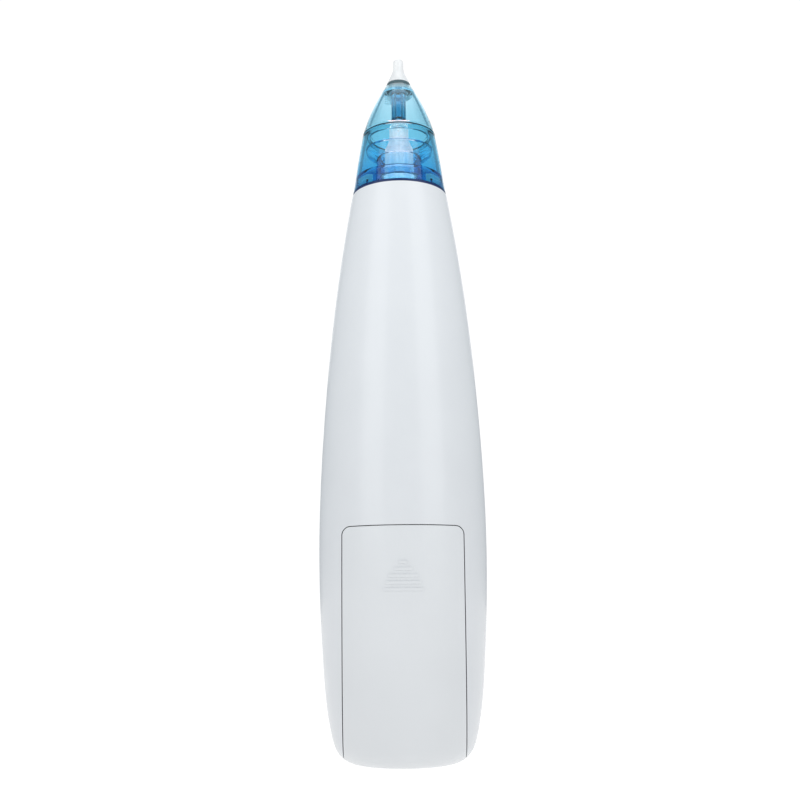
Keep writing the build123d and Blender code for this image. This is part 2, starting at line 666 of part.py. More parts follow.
with BuildPart() as motor_armature:
    tube(ARMATURE_RADIUS, SHAFT_RADIUS, ARMATURE_Z[0], ARMATURE_Z[1], pump_axis)
    tube(COMMUTATOR_RADIUS, SHAFT_RADIUS, COMMUTATOR_FOOT, ARMATURE_Z[0], pump_axis)
    # winding slots between the poles
    with BuildSketch(Plane.XY.offset(ARMATURE_Z[0])):
        with Locations(pump_axis):
            with PolarLocations(SLOT_CIRCLE, POLES, start_angle=90 / POLES):
                Rectangle(*SLOT_SIZE)
    extrude(amount=ARMATURE_Z[1] - ARMATURE_Z[0], mode=Mode.SUBTRACT)
motor_armature.part.label = "motor_armature"
export_step(motor_armature.part, "parts/motor_armature.step")

with BuildPart() as motor_shaft:
    tube(SHAFT_RADIUS, 0, SHAFT_Z[0], SHAFT_Z[1], pump_axis)
motor_shaft.part.label = "motor_shaft"
export_step(motor_shaft.part, "parts/motor_shaft.step")

with BuildPart() as motor_cradle:
    # saddle that holds the motor off the front shell, either side of the board
    saddle_bore = MOTOR_RADIUS + CRADLE_PLAY
    tube(MOTOR_RADIUS + CRADLE_WALL, saddle_bore, CRADLE_Z[0], CRADLE_Z[1], pump_axis)
    for side in (-1, 1):
        block((side * CRADLE_ARM_X[0], side * CRADLE_ARM_X[1]), CRADLE_ARM_Y, CRADLE_Z)
    bore(saddle_bore, CRADLE_Z[0], CRADLE_Z[1], pump_axis)
    add(lining_form, mode=Mode.INTERSECT)
motor_cradle.part.label = "motor_cradle"
export_step(motor_cradle.part, "parts/motor_cradle.step")


# ---------------------------------------------------------------- diaphragm pump
def pump_ring(radius, circle, low, high, mode=Mode.ADD, turn=0):
    """Three round posts or holes spaced about the pump's axis."""
    with BuildSketch(Plane.XY.offset(low)) as posts:
        with Locations(pump_axis):
            with PolarLocations(circle, 3, start_angle=turn):
                Circle(radius)
    extrude(posts.sketch, amount=high - low, mode=mode)


with BuildPart() as pump_eccentric:
    tube(CRANK_RADIUS, 0, CRANK_Z[0], CRANK_Z[1], pump_axis)
    bore(SHAFT_RADIUS, CRANK_Z[0], SHAFT_Z[1], pump_axis)
    tube(PIN_RADIUS, 0, CRANK_Z[1], PIN_TOP, (0, PUMP_Y + ECCENTRICITY))
pump_eccentric.part.label = "pump_eccentric"
export_step(pump_eccentric.part, "parts/pump_eccentric.step")

with BuildPart() as pump_base:
    bearing_hole = BEARING_RADIUS + SHAFT_PLAY
    turned([(bearing_hole, MOTOR_Z[1]), (PUMP_RADIUS, MOTOR_Z[1]), (PUMP_RADIUS, PUMP_RIM),
            (PUMP_RADIUS - PUMP_WALL, PUMP_RIM), (PUMP_RADIUS - PUMP_WALL, PUMP_FLOOR),
            (bearing_hole, PUMP_FLOOR)], pump_axis)
    pump_ring(PUMP_POST, PUMP_SCREW_CIRCLE, PUMP_FLOOR, PUMP_RIM)
    pump_ring(PUMP_HOLE, PUMP_SCREW_CIRCLE, PUMP_HOLE_FOOT, PUMP_RIM, Mode.SUBTRACT)
pump_base.part.label = "pump_base"
export_step(pump_base.part, "parts/pump_base.step")

with BuildPart() as wobble_plate:
    # three-armed plate, its hub clear of the eccentric pin's circle
    tube(HUB_RADIUS, HUB_BORE, HUB_Z[0], HUB_Z[1], pump_axis)
    with BuildSketch(Plane.XY.offset(HUB_Z[1] - ARM_THICKNESS)) as arms:
        with Locations(pump_axis):
            Circle(HUB_RADIUS)
            with PolarLocations(ARM_CIRCLE, 3, start_angle=60):
                SlotOverall(*ARM_SIZE)
            Circle(HUB_BORE, mode=Mode.SUBTRACT)
    extrude(amount=ARM_THICKNESS)
wobble_plate.part.label = "wobble_plate"
export_step(wobble_plate.part, "parts/wobble_plate.step")


def pump_layer(low, high):
    """One round layer of the pump with its three screw holes."""
    tube(PUMP_RADIUS, 0, low, high, pump_axis)
    pump_ring(PUMP_HOLE, PUMP_SCREW_CIRCLE, low, high, Mode.SUBTRACT)


with BuildPart() as pump_diaphragm:
    pump_layer(PUMP_RIM, DIAPHRAGM_TOP)
    # three rubber cups hanging down to the wobble plate's arms
    pump_ring(CHAMBER_RADIUS, CHAMBER_CIRCLE, CHAMBER_FOOT, PUMP_RIM, turn=60)
pump_diaphragm.part.label = "pump_diaphragm"
export_step(pump_diaphragm.part, "parts/pump_diaphragm.step")

with BuildPart() as valve_plate:
    pump_layer(DIAPHRAGM_TOP, VALVE_TOP)
    pump_ring(VALVE_HOLE, CHAMBER_CIRCLE, DIAPHRAGM_TOP, VALVE_TOP, Mode.SUBTRACT, turn=60)
valve_plate.part.label = "valve_plate"
export_step(valve_plate.part, "parts/valve_plate.step")

with BuildPart() as pump_cover:
    pump_layer(VALVE_TOP, PUMP_TOP)
    bore(COVER_BORE, VALVE_TOP, COVER_ROOF, pump_axis)
    tube(NOZZLE_RADIUS, 0, PUMP_TOP, NOZZLE_TOP)
    tube(OUTLET_RADIUS, 0, PUMP_TOP, OUTLET_TOP, (0, OUTLET_Y))
    bore(NOZZLE_BORE, PORT_FOOT, NOZZLE_TOP)
    bore(OUTLET_BORE, PORT_FOOT, OUTLET_TOP, (0, OUTLET_Y))
pump_cover.part.label = "pump_cover"
export_step(pump_cover.part, "parts/pump_cover.step")

with BuildPart() as pump_screws:
    pump_ring(PUMP_POST, PUMP_SCREW_CIRCLE, PUMP_TOP, PUMP_TOP + PUMP_SCREW_HEAD)
    pump_ring(PUMP_SCREW_SHANK, PUMP_SCREW_CIRCLE, PUMP_SCREW_FOOT, PUMP_TOP)
pump_screws.part.label = "pump_screws"
export_step(pump_screws.part, "parts/pump_screws.step")

with BuildPart() as suction_hose:
    tube(HOSE_RADIUS, HOSE_BORE, HOSE_Z[0], HOSE_Z[1])
suction_hose.part.label = "suction_hose"
export_step(suction_hose.part, "parts/suction_hose.step")


# ---------------------------------------------------------------- neck
with BuildPart() as neck_collar:
    tube(COLLAR_RADIUS, COLLAR_BORE, COLLAR_Z, BODY_TOP)
    # three bayonet lugs, each with an outward nub
    lug_ring(LUG_RADII[0], LUG_RADII[1], BODY_TOP, LUG_TOP)
    lug_ring(LUG_RADII[0], NUB_RADIUS, NUB_FOOT, LUG_TOP)
neck_collar.part.label = "neck_collar"
export_step(neck_collar.part, "parts/neck_collar.step")

with BuildPart() as neck_seal:
    tube(SEAL_RADII[1], SEAL_RADII[0], BODY_TOP, SEAL_TOP)
neck_seal.part.label = "neck_seal"
export_step(neck_seal.part, "parts/neck_seal.step")

with BuildPart() as suction_spigot:
    # hose barb, stem through the collar, foot flange, wide tube and narrow top with a domed end
    turned([(0, BARB_Z[0]), (BARB_RADII[0], BARB_Z[0]), (BARB_RADII[1], BARB_Z[1]),
            (BARB_RADII[1], STEM_FOOT), (STEM_RADIUS, STEM_FOOT), (STEM_RADIUS, BODY_TOP),
            (SPIGOT_FLANGE[0], BODY_TOP), SPIGOT_FLANGE, (SPIGOT_RADIUS, SPIGOT_FLANGE[1]),
            (SPIGOT_RADIUS, SPIGOT_SHOULDER[0]), (SPIGOT_TOP_RADIUS, SPIGOT_SHOULDER[1]),
            (SPIGOT_TOP_RADIUS, SPIGOT_TOP - SPIGOT_DOME[1]), (SPIGOT_DOME[0], SPIGOT_TOP),
            (0, SPIGOT_TOP)])
    bore(SPIGOT_BORE, BARB_Z[0], SPIGOT_BORE_END)
    # inlet hole in the side, below the closed end
    post(INLET_RADIUS, INLET_Z, (-SPIGOT_TOP_RADIUS, 0), Mode.SUBTRACT)
suction_spigot.part.label = "suction_spigot"
export_step(suction_spigot.part, "parts/suction_spigot.step")

with BuildPart() as spigot_seal:
    with BuildSketch(Plane.XZ):
        with Locations(RING_PLACE):
            Circle(RING_SECTION)
    revolve(axis=Axis.Z)
spigot_seal.part.label = "spigot_seal"
export_step(spigot_seal.part, "parts/spigot_seal.step")


# ---------------------------------------------------------------- collection cup
with BuildPart() as collection_cup:
    turned([(0, CUP_FOOT), *CUP_SIDE, (0, CUP_TOP)])
    with BuildSketch(Plane.XZ):
        # the well above the floor
        well_foot = [(0, CUP_FLOOR[1]), (WELL_FOOT_RADIUS, CUP_FLOOR[1])]
        well_side = [(radius - CUP_WALL, height) for radius, height in CUP_SIDE[2:]]
        with BuildLine():
            Polyline(*well_foot, *well_side, (0, CUP_TOP), close=True)
        make_face()
    revolve(axis=Axis.Z, mode=Mode.SUBTRACT)
    bore(SKIRT_BORE, CUP_FOOT, CUP_FLOOR[0])
    bore(SLEEVE_RADIUS + SLEEVE_PLAY, CUP_FLOOR[0], CUP_FLOOR[1])
    # bayonet ledges inside the skirt, under the collar's nubs
    lug_ring(LEDGE_BORE, SKIRT_BORE + CUP_WALL / 4, LEDGE_BAND[0], LEDGE_BAND[1])
collection_cup.part.label = "collection_cup"
export_step(collection_cup.part, "parts/collection_cup.step")

with BuildPart() as splash_insert:
    # sleeve round the spigot, opening into a shallow funnel
    turned([(SLEEVE_BORE, SLEEVE_Z[0]), (SLEEVE_RADIUS, SLEEVE_Z[0]),
            (SLEEVE_RADIUS, SLEEVE_Z[1] - FUNNEL_WALL), (FUNNEL_RADIUS, FUNNEL_TOP - FUNNEL_WALL),
            (FUNNEL_RADIUS, FUNNEL_TOP), (FUNNEL_RADIUS - FUNNEL_WALL, FUNNEL_TOP),
            (SLEEVE_RADIUS - FUNNEL_WALL / 2, SLEEVE_Z[1]), (SLEEVE_BORE, SLEEVE_Z[1])])
    # four gussets inside the funnel
    with BuildSketch(Plane.XZ) as gusset:
        with BuildLine():
            Polyline(*GUSSET, close=True)
        make_face()
    for angle in GUSSET_ANGLES:
        with BuildSketch(Plane.XZ.rotated((0, 0, angle))):
            add(gusset.sketch_local)
        extrude(amount=GUSSET_HALF, both=True)
splash_insert.part.label = "splash_insert"
export_step(splash_insert.part, "parts/splash_insert.step")


# ---------------------------------------------------------------- cap and tip
with BuildPart() as upper_cap:
    with BuildSketch(Plane.XZ):
        with BuildLine():
            Spline(*CAP_SIDE)
            Polyline(CAP_SIDE[-1], (0, CAP_TOP), (0, CAP_FOOT), CAP_SIDE[0])
        make_face()
    revolve(axis=Axis.Z)
    with BuildSketch(Plane.XZ):
        with BuildLine():
            Spline(*CAP_INSIDE)
            Polyline(CAP_INSIDE[-1], (0, CAP_FLOOR[0]), (0, CAP_FOOT), CAP_INSIDE[0])
        make_face()
    revolve(axis=Axis.Z, mode=Mode.SUBTRACT)
    # plug that enters the cup, tied to the wall above it
    tube(PLUG_RADII[1], PLUG_RADII[0], PLUG_FOOT, PLUG_TOP)
    tube(PLUG_COLLAR, PLUG_RADII[0], CAP_FOOT, PLUG_TOP)
    # standpipe below the cap's floor, with its bore
    tube(PIPE_RADII[1], PIPE_RADII[0], PIPE_FOOT, CAP_FLOOR[0])
    bore(PIPE_RADII[0], CAP_FLOOR[0], CAP_FLOOR[1])
    bore(TIP_POCKET, CAP_FLOOR[1], CAP_TOP)
    # small drip fins on one side of the pipe
    for fin in range(FIN_COUNT):
        level = FIN_FOOT + FIN_STEP * fin
        block(FIN_X, (-FIN_HALF, FIN_HALF), (level, level + FIN_THICKNESS))
upper_cap.part.label = "upper_cap"
export_step(upper_cap.part, "parts/upper_cap.step")

with BuildPart() as cap_oring:
    tube(ORING_RADII[1], ORING_RADII[0], CUP_TOP + ORING_GAP, CAP_FOOT)
cap_oring.part.label = "cap_oring"
export_step(cap_oring.part, "parts/cap_oring.step")

with BuildPart() as tip_ring:
    ring_bore, ring_foot, ring_end = TIP_RING_RADII
    turned([(ring_bore, CAP_TOP), (ring_foot, CAP_TOP), (ring_end, RING_TOP), (ring_bore, RING_TOP)])
tip_ring.part.label = "tip_ring"
export_step(tip_ring.part, "parts/tip_ring.step")

with BuildPart() as nose_tip:
    tip_foot = CAP_FLOOR[1] + TIP_GAP
    dome_foot = TOTAL_HEIGHT - TIP_DOME_DEPTH
    dome = [(radius, TOTAL_HEIGHT - depth) for radius, depth in TIP_DOME]
    with BuildSketch(Plane.XZ):
        with BuildLine():
            Polyline((0, tip_foot), (PLUG_RADIUS, tip_foot), (PLUG_RADIUS, TIP_SIDE[0][1]), TIP_SIDE[0])
            Spline(*TIP_SIDE)
            Line(TIP_SIDE[-1], (TIP_END_RADIUS, dome_foot))
            ThreePointArc((TIP_END_RADIUS, dome_foot), *dome)
            Polyline(dome[-1], (0, TOTAL_HEIGHT), (0, tip_foot))
        make_face()
    revolve(axis=Axis.Z)
    bore(TIP_BORE, tip_foot, TOTAL_HEIGHT + TIP_DOME_DEPTH)
nose_tip.part.label = "nose_tip"
export_step(nose_tip.part, "parts/nose_tip.step")
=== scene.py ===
import json
import math
import bpy
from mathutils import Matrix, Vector

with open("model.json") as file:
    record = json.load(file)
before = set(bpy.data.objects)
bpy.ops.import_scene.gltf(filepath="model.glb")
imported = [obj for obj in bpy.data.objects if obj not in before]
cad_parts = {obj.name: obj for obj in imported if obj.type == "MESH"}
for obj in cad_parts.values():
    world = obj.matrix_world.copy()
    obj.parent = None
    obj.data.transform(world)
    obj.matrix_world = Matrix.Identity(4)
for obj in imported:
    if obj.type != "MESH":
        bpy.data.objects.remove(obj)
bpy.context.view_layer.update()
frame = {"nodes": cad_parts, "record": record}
NODES = frame["nodes"]

MM = 0.001


# ---------------------------------------------------------------- camera, light and floor
CAMERA_PLACE = (-0.44 * MM, -314.2 * MM, 42.4 * MM)
CAMERA_TILT = 10.9          # degrees above level
CAMERA_ROLL = -0.55         # degrees
CAMERA_LENS = 48.36         # mm
CAMERA_SENSOR = 36.0        # mm
NEAR_CLIP = 10 * MM

# colour, strength and the kind of ray that sees it, the first being all the rest
BACKDROPS = [((0.93, 0.96, 1.0), 0.56, None),
             ((0.80, 0.92, 1.0), 0.36, "Is Glossy Ray"),
             ((0.49, 0.84, 1.0), 0.50, "Is Transmission Ray"),
             ((1.0, 1.0, 1.0), 1.05, "Is Camera Ray")]

# name, place and size in metres, power in watts
SOFTBOXES = [("key_left", (-0.55, -0.60, 0.45), (0.5, 0.7), 1.45),
             ("key_right", (0.55, -0.60, 0.45), (0.5, 0.7), 1.45),
             ("back_fill", (0, 0.80, 0.60), (0.8, 0.6), 1.0),
             ("top", (0, 0, 0.9), (0.5, 0.5), 1.0)]
SOFTBOX_AIM = (0, 0, 0.10)

FLOOR_HALF = 3.0            # metres
FLOOR_TONES = (0.20, 0.20, 0.20), (0.23, 0.23, 0.23)
FLOOR_PATCHES = 3.0
FLOOR_ROUGHNESS = 0.9
FLOOR_SPECULAR = 0.1
FLOOR_GLOW = 0.92           # keeps the floor as white as the backdrop


def add_camera():
    data = bpy.data.cameras.new("camera")
    data.lens = CAMERA_LENS
    data.sensor_width = CAMERA_SENSOR
    data.clip_start = NEAR_CLIP
    camera = bpy.data.objects.new("camera", data)
    camera.location = CAMERA_PLACE
    camera.rotation_euler = (math.radians(90 + CAMERA_TILT), 0, 0)
    camera.rotation_euler.rotate_axis("Z", math.radians(CAMERA_ROLL))
    bpy.context.scene.collection.objects.link(camera)
    bpy.context.scene.camera = camera


def add_softbox(name, place, size, power):
    """Rectangular area light aimed at the handle."""
    data = bpy.data.lights.new(name, "AREA")
    data.shape = "RECTANGLE"
    data.size, data.size_y = size
    data.energy = power
    lamp = bpy.data.objects.new(name, data)
    lamp.location = place
    lamp.rotation_euler = (Vector(SOFTBOX_AIM) - Vector(place)).to_track_quat("-Z", "Y").to_euler()
    bpy.context.scene.collection.objects.link(lamp)


def add_world():
    """White backdrop where seen directly, blue and greyer through or in clear plastic, soft light."""
    world = bpy.data.worlds.new("studio")
    world.use_nodes = True
    nodes, links = world.node_tree.nodes, world.node_tree.links
    nodes.clear()
    out = nodes.new("ShaderNodeOutputWorld")
    path = nodes.new("ShaderNodeLightPath")
    shade = None
    for colour, strength, ray in BACKDROPS:
        backdrop = nodes.new("ShaderNodeBackground")
        backdrop.inputs["Color"].default_value = (*colour, 1)
        backdrop.inputs["Strength"].default_value = strength
        if shade is None:
            shade = backdrop.outputs[0]
            continue
        mix = nodes.new("ShaderNodeMixShader")
        links.new(path.outputs[ray], mix.inputs[0])
        links.new(shade, mix.inputs[1])
        links.new(backdrop.outputs[0], mix.inputs[2])
        shade = mix.outputs[0]
    links.new(shade, out.inputs["Surface"])
    bpy.context.scene.world = world


def add_floor():
    """Plain pale floor, far larger than the object."""
    half = FLOOR_HALF
    mesh = bpy.data.meshes.new("floor")
    mesh.from_pydata([(-half, -half, 0), (half, -half, 0), (half, half, 0), (-half, half, 0)], [], [(0, 1, 2, 3)])
    floor = bpy.data.objects.new("floor", mesh)
    bpy.context.scene.collection.objects.link(floor)
    material, tree, shader, coords = new_material("floor")
    tree.links.new(ramp(tree, noise(tree, coords, FLOOR_PATCHES), *FLOOR_TONES), shader.inputs["Base Color"])
    shader.inputs["Roughness"].default_value = FLOOR_ROUGHNESS
    shader.inputs["Specular IOR Level"].default_value = FLOOR_SPECULAR
    shader.inputs["Emission Color"].default_value = (1, 1, 1, 1)
    shader.inputs["Emission Strength"].default_value = FLOOR_GLOW
    mesh.materials.append(material)


# ---------------------------------------------------------------- node helpers
NOISE_SPAN = (0.3, 0.7)     # a noise texture mostly stays in this range
MIX_FACTOR, MIX_A, MIX_B, MIX_RESULT = 0, 6, 7, 2       # colour sockets of the Mix node


def parts_of(material):
    """Node tree, shader and object coordinates of a material."""
    tree = material.node_tree
    return tree, tree.nodes["Principled BSDF"], tree.nodes["Texture Coordinate"].outputs["Object"]


def new_material(name):
    material = bpy.data.materials.new(name)
    material.use_nodes = True
    material.node_tree.nodes.new("ShaderNodeTexCoord")
    return (material, *parts_of(material))


def noise(tree, coords, scale, detail=3.0, stretch=None):
    """Noise texture on object coordinates, optionally stretched along an axis."""
    if stretch:
        mapping = tree.nodes.new("ShaderNodeMapping")
        mapping.inputs["Scale"].default_value = stretch
        tree.links.new(coords, mapping.inputs["Vector"])
        coords = mapping.outputs["Vector"]
    texture = tree.nodes.new("ShaderNodeTexNoise")
    texture.inputs["Scale"].default_value = scale
    texture.inputs["Detail"].default_value = detail
    texture.inputs["Roughness"].default_value = 0.5
    tree.links.new(coords, texture.inputs["Vector"])
    return texture.outputs["Fac"]


def ramp(tree, value, low, high):
    """Colour between two ends, over a noise texture's range."""
    node = tree.nodes.new("ShaderNodeValToRGB")
    for element, position, colour in zip(node.color_ramp.elements, NOISE_SPAN, (low, high)):
        element.position = position
        element.color = (*colour, 1)
    tree.links.new(value, node.inputs["Fac"])
    return node.outputs["Color"]


def remap(tree, value, start, end, low=0.0, high=1.0):
    """Number from low to high as the value goes from start to end."""
    node = tree.nodes.new("ShaderNodeMapRange")
    node.inputs["From Min"].default_value = start
    node.inputs["From Max"].default_value = end
    node.inputs["To Min"].default_value = low
    node.inputs["To Max"].default_value = high
    tree.links.new(value, node.inputs["Value"])
    return node.outputs["Result"]


def spread(tree, value, low, high):
    """Number between two ends, over a noise texture's range."""
    return remap(tree, value, *NOISE_SPAN, low, high)


def bump(tree, shader, value, strength, distance):
    node = tree.nodes.new("ShaderNodeBump")
    node.inputs["Strength"].default_value = strength
    node.inputs["Distance"].default_value = distance
    tree.links.new(value, node.inputs["Height"])
    tree.links.new(node.outputs["Normal"], shader.inputs["Normal"])


def along(tree, coords, axis):
    """One coordinate out of three."""
    node = tree.nodes.new("ShaderNodeSeparateXYZ")
    tree.links.new(coords, node.inputs[0])
    return node.outputs[axis]


def arithmetic(tree, operation, first, second=None):
    """Math node; the second input is a socket, a number or nothing."""
    node = tree.nodes.new("ShaderNodeMath")
    node.operation = operation
    tree.links.new(first, node.inputs[0])
    if isinstance(second, bpy.types.NodeSocket):
        tree.links.new(second, node.inputs[1])
    elif second is not None:
        node.inputs[1].default_value = second
    return node.outputs[0]


def vector_math(tree, operation, first, output, second=None):
    node = tree.nodes.new("ShaderNodeVectorMath")
    node.operation = operation
    tree.links.new(first, node.inputs[0])
    if second:
        node.inputs[1].default_value = second
    return node.outputs[output]


def by_height(tree, coords, stops):
    """Colour ramp along Z: stops are (height in mm, colour)."""
    low, high = stops[0][0], stops[-1][0]
    share = remap(tree, along(tree, coords, "Z"), low * MM, high * MM)
    node = tree.nodes.new("ShaderNodeValToRGB")
    elements = node.color_ramp.elements
    while len(elements) < len(stops):
        elements.new(0.5)
    for element, (height, colour) in zip(elements, stops):
        element.position = (height - low) / (high - low)
        element.color = (*colour, 1)
    tree.links.new(share, node.inputs["Fac"])
    return node.outputs["Color"]


def multiply(tree, first, second=None, colour=None, factor=None):
    """Product of two colours, the second a socket or a plain colour, optionally only where factor is 1."""
    node = tree.nodes.new("ShaderNodeMix")
    node.data_type = "RGBA"
    node.blend_type = "MULTIPLY"
    tree.links.new(first, node.inputs[MIX_A])
    if colour:
        node.inputs[MIX_B].default_value = (*colour, 1)
    else:
        tree.links.new(second, node.inputs[MIX_B])
    if factor:
        tree.links.new(factor, node.inputs[MIX_FACTOR])
    else:
        node.inputs[MIX_FACTOR].default_value = 1.0
    return node.outputs[MIX_RESULT]


# ---------------------------------------------------------------- heights, tints, painted shade and painted light
# heights in mm above the base, as in the CAD
BASE = 0.0
BODY_TOP = 166.2
SPIGOT_STEM, SPIGOT_TOP = 153.0, 190.2
HEAD_FOOT = 167.0
INSERT_FOOT, INSERT_TOP = 167.6, 181.2
CAP_FOOT = 184.9
CUP_TOP = 186.1
TIP_FOOT, TIP_TOP = 201.0, 212.5

WHITE = (1.0, 1.0, 1.0)
CELL_TAN = (16.0, 9.0, 4.0)         # lifts the dark wrap to a tan band
# painted shade: the white body and door are drawn darker towards the foot and brightest at the top, standing in for
# how the light falls on them
BODY_PAINTED_SHADE = [(BASE, (0.78, 0.775, 0.775)), (40.0, (0.845, 0.84, 0.84)), (100.0, (0.91, 0.91, 0.91)),
              (BODY_TOP, WHITE)]
CELL_BANDS = [(9.6, CELL_TAN), (17.5, CELL_TAN), (17.8, WHITE), (51.0, WHITE), (51.3, CELL_TAN), (59.1, CELL_TAN)]
# the cup's blue, with painted shade: darkest at its foot and lightening towards the rim
CUP_BLUE_AND_SHADE = [(HEAD_FOOT, (0.05, 0.40, 0.64)), (171.5, (0.14, 0.52, 0.76)), (177.0, (0.38, 0.74, 0.90)),
            (CUP_TOP, (0.38, 0.72, 0.82))]
# the cap's pale blue, paling to near white towards its top as a painted highlight
CAP_BLUE_AND_HIGHLIGHT = [(CAP_FOOT, (0.68, 0.84, 0.88)), (192.0, (0.72, 0.86, 0.89)), (198.0, (0.92, 0.98, 1.0)),
            (200.0, (0.92, 0.98, 1.0)), (203.0, (0.97, 1.0, 1.0))]
INSERT_TINT = [(INSERT_FOOT, (0.90, 0.97, 1.0)), (177.0, (0.92, 0.98, 1.0)), (INSERT_TOP, WHITE)]
SPIGOT_TINT = [(SPIGOT_STEM, (0.93, 0.97, 1.0)), (SPIGOT_TOP, (0.97, 0.99, 1.0))]
# painted light of the spigot, glowing in place of the light that reaches it through the cup; redder than it looks,
# because the cup takes most of the red away
SPIGOT_PAINTED_LIGHT = [(HEAD_FOOT, (1.50, 0.36, 0.26)), (172.0, (2.40, 0.42, 0.30)), (172.6, (1.90, 0.48, 0.35)),
               (173.8, (1.60, 0.44, 0.32)), (174.6, (0.72, 0.28, 0.22)),
               (183.0, (0.40, 0.17, 0.14)), (SPIGOT_TOP, (0.17, 0.15, 0.15))]
TIP_TINT = [(TIP_FOOT, (0.92, 0.93, 0.94)), (206.0, (0.97, 0.98, 0.98)), (TIP_TOP, (0.98, 0.99, 0.99))]

PIPE_CORE = (0.36, 0.66, 0.80)      # the cap's standpipe looks deeper than its wall
PIPE_EDGE = 2.6 * MM

INLET = (0, -3.0 * MM, 187.8 * MM)  # the spigot's side opening looks dark: painted shade, its painted light taken away there
INLET_RADII = (0.5 * MM, 1.0 * MM)
MOULD_LINE = (0.08 * MM, 0.30 * MM)
MOULD_LINE_SHADE = 0.72


# ---------------------------------------------------------------- materials
TONE_PATCHES = 60.0
GLOSS_PATCHES = 240.0
GRAIN = 900.0
GRAIN_STRENGTH, GRAIN_DEPTH = 0.15, 0.02 * MM
COAT_ROUGHNESS = 0.12

CLEAR_GLOSS_PATCHES = 300.0
RIPPLE = 90.0
RIPPLE_STRETCH = (1, 1, 0.35)
RIPPLE_STRENGTH, RIPPLE_DEPTH = 0.2, 0.03 * MM
# painted light of milky clear plastic: emission in soft streaks
STREAKS = 260.0
STREAK_STRETCH = (1, 1, 0.12)
STREAK_SPAN = (0.82, 1.08)
PAINTED_LIGHT_COLOUR = (0.93, 0.98, 1.0)
COLLAR_PAINTED_LIGHT = (1.0, 0.98, 0.96)
COLLAR_PAINTED_LIGHT_STRENGTH = 0.40


def moulded(name, low, high, gloss, coat=0.0, metallic=0.0, stops=None):
    """Moulded or plated solid: slight colour and gloss variation, a fine grain, bands by height (printed tan bands on
    the cell wrap, painted shade on the white body and door).
    """
    material, tree, shader, coords = new_material(name)
    colour = ramp(tree, noise(tree, coords, TONE_PATCHES), low, high)
    if stops:
        colour = multiply(tree, colour, by_height(tree, coords, stops))
    tree.links.new(colour, shader.inputs["Base Color"])
    tree.links.new(spread(tree, noise(tree, coords, GLOSS_PATCHES), *gloss), shader.inputs["Roughness"])
    bump(tree, shader, noise(tree, coords, GRAIN, 2.0), GRAIN_STRENGTH, GRAIN_DEPTH)
    shader.inputs["Metallic"].default_value = metallic
    shader.inputs["Coat Weight"].default_value = coat
    shader.inputs["Coat Roughness"].default_value = COAT_ROUGHNESS
    return material


def clear_plastic(name, colour_and_painted_light, absorb, density, gloss=(0.01, 0.05), ior=1.49, milk=0.0, painted_light_strength=0.0):
    """Clear plastic tinted by height, with painted shade and a painted highlight on the cup and cap; light also loses
    colour with every millimetre it crosses.
    """
    material, tree, shader, coords = new_material(name)
    tree.links.new(by_height(tree, coords, colour_and_painted_light), shader.inputs["Base Color"])
    shader.inputs["Transmission Weight"].default_value = 1.0 - milk
    shader.inputs["IOR"].default_value = ior
    # painted light: milky plastic glows in soft streaks
    streaks = noise(tree, coords, STREAKS, 2.0, STREAK_STRETCH)
    dim, bright = STREAK_SPAN
    tree.links.new(spread(tree, streaks, dim * painted_light_strength, bright * painted_light_strength), shader.inputs["Emission Strength"])
    shader.inputs["Emission Color"].default_value = (*PAINTED_LIGHT_COLOUR, 1)
    tree.links.new(spread(tree, noise(tree, coords, CLEAR_GLOSS_PATCHES), *gloss), shader.inputs["Roughness"])
    bump(tree, shader, noise(tree, coords, RIPPLE, 2.0, RIPPLE_STRETCH), RIPPLE_STRENGTH, RIPPLE_DEPTH)
    volume = tree.nodes.new("ShaderNodeVolumeAbsorption")
    volume.inputs["Color"].default_value = (*absorb, 1)
    volume.inputs["Density"].default_value = density
    tree.links.new(volume.outputs["Volume"], tree.nodes["Material Output"].inputs["Volume"])
    return material


def cap_plastic(name, **look):
    """Clear blue of the cap, deeper in the standpipe at its middle."""
    material = clear_plastic(name, **look)
    tree, shader, coords = parts_of(material)
    level = vector_math(tree, "MULTIPLY", coords, "Vector", (1, 1, 0))
    radius = vector_math(tree, "LENGTH", level, "Value")
    in_pipe = arithmetic(tree, "LESS_THAN", radius, PIPE_EDGE)
    colour_and_painted_light = shader.inputs["Base Color"].links[0].from_socket
    tree.links.new(multiply(tree, colour_and_painted_light, colour=PIPE_CORE, factor=in_pipe), shader.inputs["Base Color"])
    return material


def spigot_plastic(name, **look):
    """Milky clear plastic with painted light glowing in it, dimmed in its inlet as painted shade and along its
    moulding line.
    """
    material = clear_plastic(name, **look)
    tree, shader, coords = parts_of(material)
    tree.links.new(by_height(tree, coords, SPIGOT_PAINTED_LIGHT), shader.inputs["Emission Color"])
    hole = remap(tree, vector_math(tree, "DISTANCE", coords, "Value", INLET), *INLET_RADII)
    side = arithmetic(tree, "ABSOLUTE", along(tree, coords, "X"))
    line = remap(tree, side, *MOULD_LINE, MOULD_LINE_SHADE)
    streaks = shader.inputs["Emission Strength"].links[0].from_socket
    shown = arithmetic(tree, "MULTIPLY", streaks, arithmetic(tree, "MULTIPLY", hole, line))
    tree.links.new(shown, shader.inputs["Emission Strength"])
    return material


